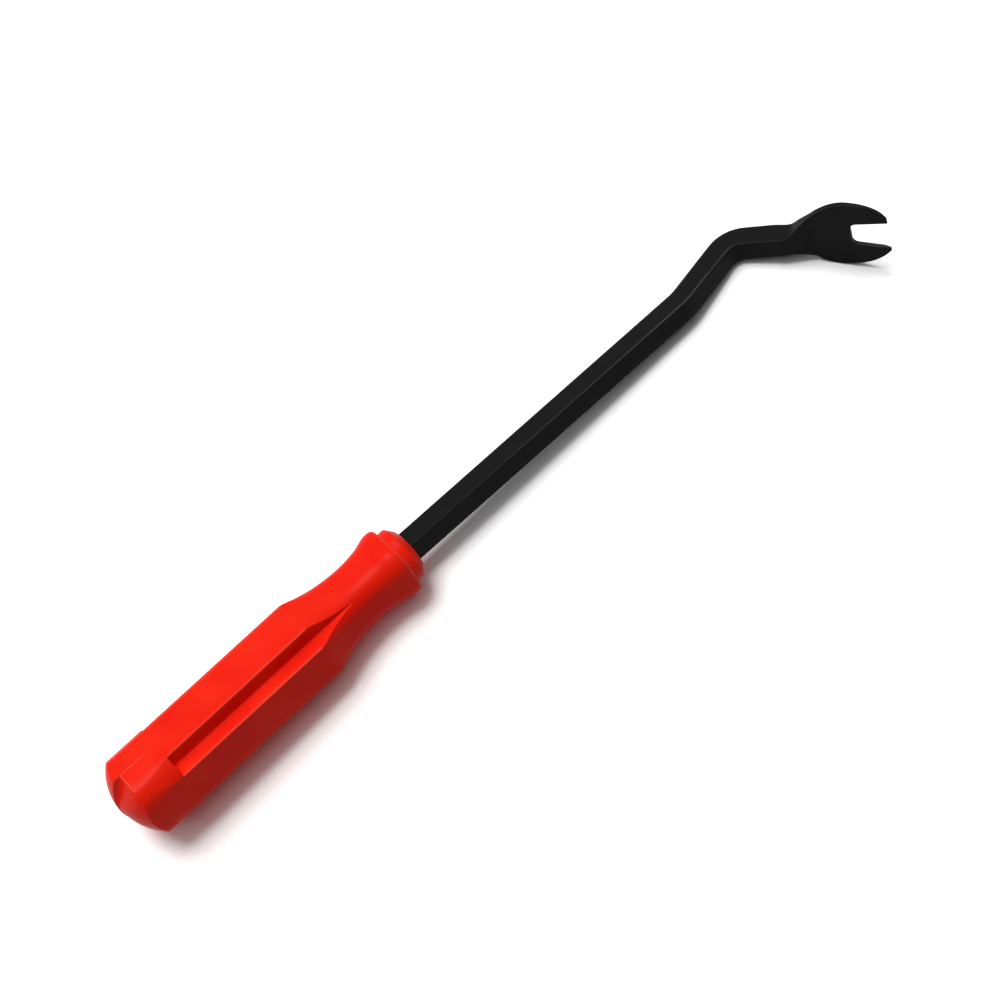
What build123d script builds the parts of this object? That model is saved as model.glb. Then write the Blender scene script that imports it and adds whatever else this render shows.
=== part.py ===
from build123d import *
import os
from math import acos, cos, degrees, radians, sin, sqrt

# Clip driver for door panels, in millimetres: a moulded handle and a cranked square bar
# that ends in a flat fork. Both are drawn about the handle's axis, from its nose, with X
# towards the fork, and then laid down as the tool rests on a table: on one ridge of the
# handle, the outside of the crank and the edge of the fork. The origin ends up on the
# table, under the middle of the tool, with Z up.

# Handle, measured along its axis from the nose unless said otherwise
HANDLE_LENGTH = 103.3
ACROSS_FLATS = 21.54
ACROSS_CORNERS = 24.7
CORNER_BLEND = 2.5
DOME_RADIUS = 14.7
NECK_START = 36.5
NECK_MIDDLE = 28.0
NECK_MIDDLE_FLATS = 17.3
NECK_MIDDLE_CORNER = 5.9
WAIST = 19.0
WAIST_FLATS = 15.6
WAIST_CORNER = 5.3
SWELL = 11.5
SWELL_FLATS = 16.7
SWELL_CORNER = 5.7
FLARE_FULL = 7.2
FLARE_END = 4.9
FLARE_FLATS = 18.6
FLARE_CORNER = 6.2
FLARE_ROUND = 0.8
COLLAR_DIAMETER = 16.8
COLLAR_LENGTH = 3.9
COLLAR_ROUND = 0.8
NOSE_DIAMETER = 12.0

# Grooves along the four corners
GROOVE_TO_BUTT = 18.0
GROOVE_APEX = 8.73
GROOVE_ROUND = 0.5

# Bar, along its centre line
BAR = 6.35
BAR_BEVEL = 0.5
TANG = 62.0
SOCKET_CLEARANCE = 0.05
SOCKET_END_GAP = 0.5
SHANK = 103.3
KICK_TURN = 12.06
KICK_RADIUS = 19.8
OFFSET_LENGTH = 17.2
CRANK_TURN = 59.63
CRANK_RADIUS = 8.0
CRANK_LENGTH = 7.75
SET_TURN = 7.7
SET_RADIUS = 15.0
SET_LENGTH = 0.5
BLADE_YAW = 1.36
BLADE_ROLL = 4.2
OVERCUT = 1.0

# Fork, along its own centre line
FLARE_LENGTH = 9.5
FORK_RISE = 2.65
FORK_PROUD = 0.18
ROOT_WIDTH = 16.4
HEAD_WIDTH = 25.0
HEAD_MIDDLE = 10.8
FORK_REACH = 21.8
TIP_WIDTH = 12.2
NOTCH_MOUTH = 10.5
NOTCH_FLOOR = 8.7
NOTCH_DEPTH = 11.6
NOTCH_CORNER = 2.6
ROOT_THICKNESS = 2.15
TIP_THICKNESS = 0.85
FRONT_BEVEL = 0.25
BACK_BEVEL = 0.4
FLAT_BEVEL = 0.3

# Where the tool touches the table, as shares of the crank's arc and of the fork's rim
CRANK_TOUCH = 0.35
RIM_TOUCH = 0.32

corner_r = ACROSS_CORNERS / 2
axis_x = Axis((0, 0, 0), (1, 0, 0))
lengthwise = Plane(origin=(0, 0, 0), x_dir=(1, 0, 0), z_dir=(0, -1, 0))


def across(x):
    """Section plane of the handle, with Y across it and Z up it."""
    return Plane(origin=(x, 0, 0), x_dir=(0, 1, 0), z_dir=(1, 0, 0))


# Where the bar lies: its centre line crosses the handle's axis at the nose
lie = Plane.XY.rotated((BLADE_ROLL, 0, -BLADE_YAW))
up = lie.z_dir

# Centre line of the bar, from the end of the tang to the start of the fork
with BuildLine(lie) as spine:
    shank = Line((-TANG, 0), (SHANK, 0))
    kick = JernArc(shank @ 1, shank % 1, KICK_RADIUS, KICK_TURN)
    offset_run = PolarLine(kick @ 1, OFFSET_LENGTH, direction=kick % 1)
    crank = JernArc(offset_run @ 1, offset_run % 1, CRANK_RADIUS, -CRANK_TURN)
    crank_run = PolarLine(crank @ 1, CRANK_LENGTH, direction=crank % 1)
    set_arc = JernArc(crank_run @ 1, crank_run % 1, SET_RADIUS, -SET_TURN)
    set_run = PolarLine(set_arc @ 1, SET_LENGTH, direction=set_arc % 1)

fork_start = set_run @ 1
out = set_run % 1
front = out.cross(up)
root = fork_start + out * FLARE_LENGTH + up * FORK_RISE + front * FORK_PROUD
head = Plane(origin=root, x_dir=out, z_dir=front)
edge_on = Plane(origin=root, x_dir=out, z_dir=-up)

with BuildPart() as blade:
    # Fork: a round head with a tapering notch, tapered in thickness to its tips
    with BuildSketch(head):
        with BuildLine():
            upper = ThreePointArc(
                (0, ROOT_WIDTH / 2), (HEAD_MIDDLE, HEAD_WIDTH / 2), (FORK_REACH, TIP_WIDTH / 2)
            )
            lower = ThreePointArc(
                (0, -ROOT_WIDTH / 2), (HEAD_MIDDLE, -HEAD_WIDTH / 2), (FORK_REACH, -TIP_WIDTH / 2)
            )
            Line(upper @ 0, lower @ 0)
            Line(upper @ 1, lower @ 1)
        make_face()
        with BuildSketch(mode=Mode.PRIVATE) as notch:
            with BuildLine():
                Polyline(
                    (FORK_REACH, NOTCH_MOUTH / 2),
                    (FORK_REACH - NOTCH_DEPTH, NOTCH_FLOOR / 2),
                    (FORK_REACH - NOTCH_DEPTH, -NOTCH_FLOOR / 2),
                    (FORK_REACH, -NOTCH_MOUTH / 2),
                    close=True,
                )
            make_face()
            fillet(notch.vertices().group_by(Axis.X)[0], NOTCH_CORNER)
        add(notch.sketch, mode=Mode.SUBTRACT)
    extrude(amount=-ROOT_THICKNESS)
    with BuildSketch(edge_on):
        with BuildLine():
            Polyline(
                (0, 0),
                (FORK_REACH, 0),
                (FORK_REACH, -TIP_THICKNESS),
                (0, -ROOT_THICKNESS),
                close=True,
            )
        make_face()
    extrude(amount=HEAD_WIDTH, both=True, mode=Mode.INTERSECT)
    outward = Axis(root, out)
    facing = Axis(root, front)
    front_edges = blade.faces().sort_by(facing)[-1].edges().sort_by(outward)[1:]
    chamfer(front_edges, FRONT_BEVEL)
    back_edges = blade.faces().filter_by(lambda f: f.normal_at().dot(front) < -0.9)
    chamfer(back_edges.edges().sort_by(outward)[1:], BACK_BEVEL)

    # Flare: the square bar is drawn down and spread into the root of the fork
    bar_half = BAR / 2
    flare = [(0, 0, 0, 0), (0.32, 0.09, 0.03, 0.27), (0.6, 0.5, 0.17, 0.6), (1, 1, 1, 1)]
    for along, rise, drop, thin in flare:
        top = bar_half + (FORK_RISE + ROOT_WIDTH / 2 - bar_half) * rise
        bottom = -bar_half + (FORK_RISE - ROOT_WIDTH / 2 + bar_half) * drop
        face = bar_half + (FORK_PROUD - bar_half) * thin
        back = -bar_half + (FORK_PROUD - ROOT_THICKNESS + bar_half) * thin
        bevel = BAR_BEVEL + (FLAT_BEVEL - BAR_BEVEL) * along
        station = Plane(origin=fork_start + out * FLARE_LENGTH * along, x_dir=up, z_dir=out)
        with BuildSketch(station) as flat_section:
            with Locations(((top + bottom) / 2, (face + back) / 2)):
                Rectangle(top - bottom, face - back)
            chamfer(flat_section.vertices(), bevel)
    loft()

    # Bar: one square section carried along the whole centre line
    with BuildSketch(Plane(origin=spine.line @ 0, x_dir=up, z_dir=spine.line % 0)) as section:
        Rectangle(BAR, BAR)
        chamfer(section.vertices(), BAR_BEVEL)
    sweep(path=spine.wires()[0], transition=Transition.ROUND)
blade.part.label = "blade"

with BuildPart() as handle:
    # Grip: a square section with its corners turned round
    with BuildSketch(across(-HANDLE_LENGTH)) as grip:
        Rectangle(ACROSS_FLATS, ACROSS_FLATS)
        Circle(corner_r, mode=Mode.INTERSECT)
        fillet(grip.vertices(), CORNER_BLEND)
    extrude(amount=HANDLE_LENGTH - NECK_START)

    # Domed butt
    with BuildSketch(lengthwise):
        with BuildLine():
            dome = RadiusArc(
                (-HANDLE_LENGTH, 0), (DOME_RADIUS - HANDLE_LENGTH, DOME_RADIUS), DOME_RADIUS
            )
            Polyline(dome @ 1, (0, DOME_RADIUS), (0, 0), dome @ 0)
        make_face()
    revolve(axis=axis_x, mode=Mode.INTERSECT)

    # Neck: soft squares that draw in to the waist and swell again to the flare
    with BuildSketch(across(-NECK_START)) as neck_root:
        Rectangle(ACROSS_FLATS, ACROSS_FLATS)
        Circle(corner_r, mode=Mode.INTERSECT)
    stations = [
        (NECK_MIDDLE, NECK_MIDDLE_FLATS, NECK_MIDDLE_CORNER),
        (WAIST, WAIST_FLATS, WAIST_CORNER),
        (SWELL, SWELL_FLATS, SWELL_CORNER),
        (FLARE_FULL, FLARE_FLATS, FLARE_CORNER),
    ]
    for behind, flats, corner in stations:
        with BuildSketch(across(-behind)):
            RectangleRounded(flats, flats, corner)
    loft()
    with BuildSketch(across(-FLARE_FULL)):
        RectangleRounded(FLARE_FLATS, FLARE_FLATS, FLARE_CORNER)
    extrude(amount=FLARE_FULL - FLARE_END)
    fillet(handle.faces().sort_by(Axis.X)[-1].edges(), FLARE_ROUND)

    # Collar with a low cone to the nose
    with BuildSketch(lengthwise) as rim:
        with BuildLine():
            Polyline(
                (-FLARE_FULL, 0),
                (-FLARE_FULL, COLLAR_DIAMETER / 2),
                (-FLARE_END + COLLAR_LENGTH, COLLAR_DIAMETER / 2),
                (0, NOSE_DIAMETER / 2),
                (0, 0),
                close=True,
            )
        make_face()
        rim_corner = rim.vertices().group_by(Axis.Y)[-1].sort_by(Axis.X)[-1]
        fillet(rim_corner, COLLAR_ROUND)
    revolve(axis=axis_x)

    # Grooves: one V along each corner, cut square near the butt and running out at the waist
    ridge_angle = 45 - degrees(acos(ACROSS_FLATS / ACROSS_CORNERS))
    ridge_out = corner_r * cos(radians(ridge_angle))
    ridge_side = corner_r * sin(radians(ridge_angle))
    for corner_number in range(4):
        turned = across(GROOVE_TO_BUTT - HANDLE_LENGTH).rotated((45 + 90 * corner_number, 0, 0))
        with BuildSketch(turned) as vee:
            with BuildLine():
                Polyline(
                    (GROOVE_APEX, 0),
                    (2 * ridge_out - GROOVE_APEX, 2 * ridge_side),
                    (2 * ridge_out - GROOVE_APEX, -2 * ridge_side),
                    close=True,
                )
            make_face()
            fillet(vee.vertices().sort_by(Axis.X)[0], GROOVE_ROUND)
        extrude(amount=HANDLE_LENGTH - GROOVE_TO_BUTT - WAIST, mode=Mode.SUBTRACT)

    # Blind socket for the tang
    socket_side = BAR + 2 * SOCKET_CLEARANCE
    with BuildSketch(Plane(origin=lie.x_dir * OVERCUT, x_dir=up, z_dir=-lie.x_dir)) as socket:
        Rectangle(socket_side, socket_side)
        chamfer(socket.vertices(), BAR_BEVEL)
    extrude(amount=TANG + SOCKET_END_GAP + OVERCUT, mode=Mode.SUBTRACT)

handle.part.label = "handle"

# The tool lies on the front end of one ridge, the outside of the crank and the fork's edge
ridge_y = sqrt(ACROSS_CORNERS**2 - ACROSS_FLATS**2) / 2
ridge_end = Vector(-NECK_START, ridge_y, -ACROSS_FLATS / 2)
crank_side = crank @ CRANK_TOUCH + (up.cross(crank % CRANK_TOUCH) - up) * bar_half
rim = lower @ RIM_TOUCH
rim_back = BACK_BEVEL - ROOT_THICKNESS + (ROOT_THICKNESS - TIP_THICKNESS) * rim.X / FORK_REACH
fork_edge = head.from_local_coords(Vector(rim.X, rim.Y, rim_back))
table_up = (fork_edge - ridge_end).cross(crank_side - ridge_end).normalized()
table_x = axis_x.direction - table_up * table_up.dot(axis_x.direction)
lay_down = Plane(origin=ridge_end, x_dir=table_x, z_dir=table_up).location.inverse()
blade_laid = blade.part.moved(lay_down)
handle_laid = handle.part.moved(lay_down)
box = blade_laid.bounding_box().add(handle_laid.bounding_box())
to_middle = Location((-box.center().X, -box.center().Y, -box.min.Z))

os.makedirs("parts", exist_ok=True)
export_step(blade_laid.moved(to_middle), "parts/blade.step")
export_step(handle_laid.moved(to_middle), "parts/handle.step")
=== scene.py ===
"""Door panel clip driver: a red moulded handle on a cranked black bar with a flat fork.

The pieces are drawn in millimetres in the tool's own frame: the origin at the handle's
nose on its axis, X towards the fork, Z square to the handle's top flat. A Lay then puts
them where the tool lies on the floor, in metres.
"""

import logging
from dataclasses import dataclass
from enum import Enum

import bmesh
import bpy
import numpy as np
from mathutils import Matrix, Vector


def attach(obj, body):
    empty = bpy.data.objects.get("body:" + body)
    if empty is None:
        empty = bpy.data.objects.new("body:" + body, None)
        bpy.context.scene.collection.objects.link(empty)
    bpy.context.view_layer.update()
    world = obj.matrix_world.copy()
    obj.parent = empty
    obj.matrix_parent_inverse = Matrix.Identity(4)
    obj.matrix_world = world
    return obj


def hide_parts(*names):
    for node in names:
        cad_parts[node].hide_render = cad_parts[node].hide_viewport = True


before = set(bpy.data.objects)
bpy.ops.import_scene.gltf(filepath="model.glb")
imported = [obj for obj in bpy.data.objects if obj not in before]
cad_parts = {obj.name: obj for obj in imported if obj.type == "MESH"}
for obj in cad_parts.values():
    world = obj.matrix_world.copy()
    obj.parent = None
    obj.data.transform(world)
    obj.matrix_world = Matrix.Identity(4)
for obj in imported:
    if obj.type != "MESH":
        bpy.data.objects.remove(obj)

Array = np.ndarray
Triple = tuple[float, float, float]
Colour = tuple[float, float, float, float]

FAR = 99.0  # a radius in millimetres that is outside everything
RESTING = 0.00001  # the height in metres at which the lowest edges lie

logging.basicConfig(level=logging.INFO, format="%(message)s")
log = logging.getLogger("clip_driver")


def smooth_step(x: Array, start: float, stop: float) -> Array:
    """Rises from 0 at start to 1 at stop as 3t^2 - 2t^3, where t is the share of the way."""
    t = np.clip((x - start) / (stop - start), 0.0, 1.0)
    return t * t * (3.0 - 2.0 * t)


def soft_min(a: Array, b: Array, width: Array | float) -> Array:
    """Rounded minimum: min(a, b) - h^2 width / 4, where h = max(1 - |a - b| / width, 0)."""
    h = np.maximum(1.0 - np.abs(a - b) / width, 0.0)
    return np.minimum(a, b) - h * h * width / 4.0


def smooth_through(x: Array, knots: Array, heights: Array, first: float, last: float) -> Array:
    """A smooth curve through a few stations: cubic pieces with a common slope at each knot.

    Inside, the slope at a knot is the mean of those of its two chords. Past the ends the
    curve stays level.

    Args:
        x: Where to take it.
        knots: The stations, in rising order.
        heights: The curve's height at each station.
        first: The slope at the first station.
        last: The slope at the last station.

    Returns:
        The curve's height at each x.
    """
    knots, heights = np.asarray(knots, float), np.asarray(heights, float)
    chords = np.diff(heights) / np.diff(knots)
    slopes = np.concatenate([[first], (chords[1:] + chords[:-1]) / 2.0, [last]])
    x = np.clip(x, knots[0], knots[-1])
    k = np.clip(np.searchsorted(knots, x) - 1, 0, len(knots) - 2)
    span = knots[k + 1] - knots[k]
    t = (x - knots[k]) / span
    return (
        (2 * t**3 - 3 * t**2 + 1) * heights[k]
        + (t**3 - 2 * t**2 + t) * span * slopes[k]
        + (3 * t**2 - 2 * t**3) * heights[k + 1]
        + (t**3 - t**2) * span * slopes[k + 1]
    )


def turn_about(axis: str, degrees: float) -> Array:
    """The 3 by 3 rotation about X, Y or Z by an angle in degrees."""
    return np.array(Matrix.Rotation(np.radians(degrees), 3, axis))


def direction(heading: Array) -> Array:
    """The unit direction in the XY plane at each heading in radians: (cos, sin, 0)."""
    return np.stack([np.cos(heading), np.sin(heading), 0.0 * heading], axis=-1)


def from_flat(turn: Array, roll: float = 0.0) -> Array:
    """Degrees from the middle of the nearest of four flats, which are rolled by roll degrees."""
    return np.abs(np.mod(np.degrees(turn) - roll + 45.0, 90.0) - 45.0)


def quads_of(n: Array) -> Array:
    """The four corners of every quad in a grid of point numbers."""
    return np.stack([n[:-1, :-1], n[1:, :-1], n[1:, 1:], n[:-1, 1:]], axis=-1).reshape(-1, 4)


def add_object(name: str, data: bpy.types.ID) -> bpy.types.Object:
    """Makes an object and puts it in the scene.

    Args:
        name: The object's name.
        data: Its mesh, lamp or camera.

    Returns:
        The object.
    """
    made = bpy.data.objects.new(name, data)
    bpy.context.scene.collection.objects.link(made)
    return made


@dataclass(frozen=True)
class Lay:
    """How the tool lies on the floor: it pitches nose down and rolls onto one ridge."""

    nose: Triple = (-26.7354, 11.4762, 10.3895)
    pitch: float = 2.78493
    roll: float = -19.64453

    def to_world(self, points: Array) -> Array:
        """Turns points by roll about X, then by pitch about Y, moves them and makes them metres."""
        turn = turn_about("Y", self.pitch) @ turn_about("X", self.roll)
        return (points @ turn.T + np.array(self.nose)) / 1000.0


class Shell:
    """A closed mesh put together from grids of points that share their borders."""

    def __init__(self) -> None:
        """Starts with no points and no faces."""
        self.points: list[Array] = []
        self.wear_and_painted_light: list[Array] = []
        self.quads: list[Array] = []
        self.triangles: list[Array] = []
        self.count = 0

    def _keep(self, points: Array, wear_and_painted_light: Array | float) -> Array:
        """Stores points with their marks, from abrasion and painted light.

        Args:
            points: The points, three numbers each in the last axis.
            wear_and_painted_light: How pale each point is, from abrasion and a painted highlight.

        Returns:
            The points' numbers, shaped as the grid.
        """
        shape = points.shape[:-1]
        numbers = self.count + np.arange(int(np.prod(shape))).reshape(shape)
        self.points.append(points.reshape(-1, 3))
        self.wear_and_painted_light.append(np.broadcast_to(wear_and_painted_light, shape).reshape(-1))
        self.count += numbers.size
        return numbers

    def add_grid(self, points: Array, wear_and_painted_light: Array | float = 0.0, round_about: bool = False) -> None:
        """Adds quads between neighbouring points of a grid.

        Args:
            points: The grid, rows by columns by three.
            wear_and_painted_light: How pale each point is, from abrasion and a painted highlight,
                up to 1; under 0 a painted dark line.
            round_about: Whether the last column joins the first.
        """
        n = self._keep(points, wear_and_painted_light)
        if round_about:
            n = np.concatenate([n, n[:, :1]], axis=1)
        self.quads.append(quads_of(n))

    def add_cap(self, ring: Array, facing_back: bool, wear_and_painted_light: Array | float = 0.0) -> None:
        """Closes a ring with triangles to its middle.

        Args:
            ring: The points of the ring.
            facing_back: Whether the cap faces against the rows that made the ring.
            wear_and_painted_light: How pale each point is, from abrasion and a painted highlight,
                from 0 to 1.
        """
        n = self._keep(ring, wear_and_painted_light)
        middle = self._keep(ring.mean(axis=0)[None, :], float(np.mean(wear_and_painted_light)))[0]
        ends = (n, np.roll(n, -1)) if facing_back else (np.roll(n, -1), n)
        self.triangles.append(np.stack([ends[0], ends[1], np.full_like(n, middle)], axis=-1))

    def make(self, name: str, lay: Lay, crisp: float) -> bpy.types.Object:
        """Makes the object: merges shared borders, turns faces outwards, smooths the shading.

        Edges that the tool lies on are worn level with the floor. All faces are turned
        over if the sum of a . (b x c) over the triangles is negative.

        Args:
            name: The object's name.
            lay: Where the tool lies.
            crisp: The angle in degrees past which an edge is shaded crisp.

        Returns:
            The object, at the origin, with its place in its mesh.
        """
        points = lay.to_world(np.concatenate(self.points))
        points[:, 2] = np.maximum(points[:, 2], RESTING)
        quads = np.concatenate(self.quads)
        halves = [quads[:, [0, 1, 2]], quads[:, [0, 2, 3]], *self.triangles]
        a, b, c = (points[np.concatenate(halves)[:, k]] for k in range(3))
        if np.einsum("ij,ij->", a, np.cross(b, c)) < 0.0:
            quads = quads[:, ::-1]
            self.triangles = [t[:, ::-1] for t in self.triangles]
        faces = quads.tolist() + [t for group in self.triangles for t in group.tolist()]
        mesh = bpy.data.meshes.new(name)
        mesh.from_pydata(points.tolist(), [], faces)
        # The marks layer carries abrasion and painted light: highlights above 0, a painted dark
        # line below 0.
        worn_and_lit = mesh.attributes.new("wear_and_painted_light", "FLOAT", "POINT")
        worn_and_lit.data.foreach_set("value", np.concatenate(self.wear_and_painted_light).astype(np.float32))
        joined = bmesh.new()
        joined.from_mesh(mesh)
        bmesh.ops.remove_doubles(joined, verts=joined.verts, dist=1e-6)
        bmesh.ops.dissolve_degenerate(joined, edges=joined.edges, dist=1e-7)
        joined.to_mesh(mesh)
        joined.free()
        mesh.shade_smooth()
        mesh.set_sharp_from_angle(angle=np.radians(crisp))
        return add_object(name, mesh)


class Wire:
    """A node's output in an expression: each operator adds one Math node."""

    def __init__(self, recipe: "Recipe", socket: bpy.types.NodeSocket) -> None:
        """Keeps the recipe and the output socket."""
        self.recipe = recipe
        self.socket = socket

    def _math(self, operation: str, *terms: "Wire | float") -> "Wire":
        """Adds a Math node with the given operation and terms."""
        return self.recipe.node("ShaderNodeMath", {"operation": operation}, dict(enumerate(terms)))

    def __add__(self, other: "Wire | float") -> "Wire":
        """Adds: wire + other."""
        return self._math("ADD", self, other)

    def __sub__(self, other: "Wire | float") -> "Wire":
        """Subtracts: wire - other."""
        return self._math("SUBTRACT", self, other)

    def __rsub__(self, other: "Wire | float") -> "Wire":
        """Subtracts the other way round: other - wire."""
        return self._math("SUBTRACT", other, self)

    def __mul__(self, other: "Wire | float") -> "Wire":
        """Multiplies: wire * other."""
        return self._math("MULTIPLY", self, other)

    __radd__ = __add__
    __rmul__ = __mul__

    def at_most(self, other: "Wire | float") -> "Wire":
        """The smaller of the wire and other."""
        return self._math("MINIMUM", self, other)

    def at_least(self, other: "Wire | float") -> "Wire":
        """The larger of the wire and other."""
        return self._math("MAXIMUM", self, other)

    def between(self, low: float, high: float) -> "Wire":
        """Runs smoothly from 0 at low to 1 at high."""
        terms = {"Value": self, "From Min": low, "From Max": high}
        return self.recipe.node("ShaderNodeMapRange", {"interpolation_type": "SMOOTHSTEP"}, terms)


class Recipe:
    """The node tree of a material or of the surround, built node by node."""

    def __init__(self, owner: bpy.types.Material | bpy.types.World) -> None:
        """Empties the owner's node tree.

        Args:
            owner: The material or the world that the tree belongs to.
        """
        owner.use_nodes = True
        self.owner = owner
        self.tree = owner.node_tree
        self.tree.nodes.clear()

    @classmethod
    def of_material(cls, name: str) -> "Recipe":
        """Starts the recipe of a new material of that name."""
        return cls(bpy.data.materials.new(name))

    def node(
        self,
        kind: str,
        settings: dict[str, object] | None = None,
        sockets: dict[int | str, object] | None = None,
        out: int | str | None = 0,
    ) -> Wire | None:
        """Adds one node.

        Args:
            kind: The node's type.
            settings: What is set on the node itself.
            sockets: A value or a Wire for each input, by number or by name.
            out: The output to hand on, or None at the end of the tree.

        Returns:
            That output.
        """
        made = self.tree.nodes.new(kind)
        for key, value in (settings or {}).items():
            setattr(made, key, value)
        for key, value in (sockets or {}).items():
            if isinstance(value, Wire):
                self.tree.links.new(value.socket, made.inputs[key])
            else:
                made.inputs[key].default_value = value
        return None if out is None else Wire(self, made.outputs[out])

    def mix(self, share: Wire | float, first: Wire | Colour, second: Wire | Colour) -> Wire:
        """Mixes two colours: the second one's share runs from 0 to 1."""
        return self.node("ShaderNodeMix", {"data_type": "RGBA"}, {0: share, 6: first, 7: second}, 2)

    def place(self, turn: Triple = (0.0, 0.0, 0.0), stretch: Triple = (1.0, 1.0, 1.0)) -> Wire:
        """Object coordinates, turned by degrees about X, Y and Z and stretched along each."""
        terms = {"Vector": self.node("ShaderNodeTexCoord", out="Object"), "Scale": stretch}
        return self.node("ShaderNodeMapping", {}, terms | {"Rotation": tuple(np.radians(turn))})

    def wear_and_painted_light(self) -> Wire:
        """How pale each point is, from abrasion and painted light, as the mesh carries it point by
        point.
        """
        return self.node("ShaderNodeAttribute", {"attribute_name": "wear_and_painted_light"}, out="Fac")

    def rays(self) -> tuple[Wire, Wire]:
        """Tells the kinds of ray apart.

        Returns:
            1 for rays from the camera, and 1 for those that were reflected or passed on.
        """
        kinds = ("Is Camera Ray", "Is Glossy Ray", "Is Transmission Ray")
        seen, glossy, passed = (self.node("ShaderNodeLightPath", out=kind) for kind in kinds)
        return seen, glossy + passed

    def noise(self, where: Wire, size: float, detail: float = 3.0, rough: float = 0.5) -> Wire:
        """Noise about 0.5 with lumps size metres across and detail finer layers, rough strong."""
        terms = {"Vector": where, "Scale": 1.0 / size, "Detail": detail, "Roughness": rough}
        return self.node("ShaderNodeTexNoise", {}, terms, "Fac")

    def bump(self, height: Wire, depth: float, below: Wire | None = None) -> Wire:
        """A normal that follows a height.

        Args:
            height: The height, from 0 to 1.
            depth: What a height of 1 stands for, in metres.
            below: A coarser bump that this one lies on.

        Returns:
            The normal.
        """
        coarser = {} if below is None else {"Normal": below}
        terms = {"Height": height, "Distance": depth, "Strength": 1.0} | coarser
        return self.node("ShaderNodeBump", {}, terms)

    def finish(self, sockets: dict[int | str, object]) -> bpy.types.Material:
        """Ends the material in one Principled BSDF with the given sockets."""
        return self.end(self.node("ShaderNodeBsdfPrincipled", {}, sockets))

    def end(self, surface: Wire, kind: str = "ShaderNodeOutputMaterial") -> bpy.types.ID:
        """Links a shader to the tree's output and returns what the tree belongs to."""
        self.node(kind, {}, {"Surface": surface}, out=None)
        return self.owner


class Grain(Enum):
    """Which way a finish's fine marks run, as turns in degrees about X, Y and Z."""

    ALONG_HANDLE = (0.0, -2.8, 0.0)
    ALONG_BAR = (0.0, -2.8, 1.4)


@dataclass(frozen=True)
class RedMoulding:
    """Injection-moulded red plastic: a satin gloss skin with handling marks, and ridges and rims
    paled by abrasion and a painted highlight.
    """

    body: Colour = (0.95, 0.020, 0.0055, 1.0)
    deep: Colour = (0.90, 0.012, 0.0030, 1.0)
    # Pale red for the ridges and rims: abraded plastic plus a painted highlight.
    scuffed_and_highlight: Colour = (1.0, 0.150, 0.090, 1.0)
    gloss: float = 0.30
    specular: float = 0.06

    def material(self) -> bpy.types.Material:
        """Makes the plastic.

        Colour drifts slowly between two reds and pales on the ridges, the flare's rim and the
        facet's edge: partly abraded, partly a painted highlight. Roughness takes a slow cloud,
        fine scratches along the handle and those pale marks. The bump is a faint sink
        ripple under the mould's spark-eroded skin.

        Returns:
            The material.
        """
        recipe = Recipe.of_material("handle_plastic_red")
        plain = recipe.place()
        along = recipe.place(Grain.ALONG_HANDLE.value, (0.06, 1.0, 1.0))
        cloud = recipe.noise(plain, 0.018, 2.0)
        scratches = recipe.noise(along, 0.0009, 2.0, 0.6).between(0.62, 0.72)
        specks = recipe.noise(plain, 0.0006, 2.0, 0.6).between(0.66, 0.74)
        # Pale marks on ridges, rim and facet edge: abrasion plus a painted highlight.
        worn_and_highlit = (recipe.wear_and_painted_light() * (recipe.noise(along, 0.004, 3.0, 0.6) + 0.5)).at_most(1.0)
        marks = scratches * 0.07 + specks * 0.05
        red = recipe.mix(cloud.between(0.35, 0.65), self.body, self.deep)
        skin = recipe.noise(plain, 0.00035, 2.0, 0.55)
        sink = recipe.bump(recipe.noise(plain, 0.006, 1.0), 0.00006)
        return recipe.finish(
            {
                "Base Color": recipe.mix(worn_and_highlit * 0.55, red, self.scuffed_and_highlight),
                "Roughness": self.gloss + cloud * 0.06 + marks + worn_and_highlit * 0.08,
                "Normal": recipe.bump(skin - scratches * 0.5, 0.000007, sink),
                "Specular IOR Level": self.specular,
                "IOR": 1.5,
            }
        )


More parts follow.
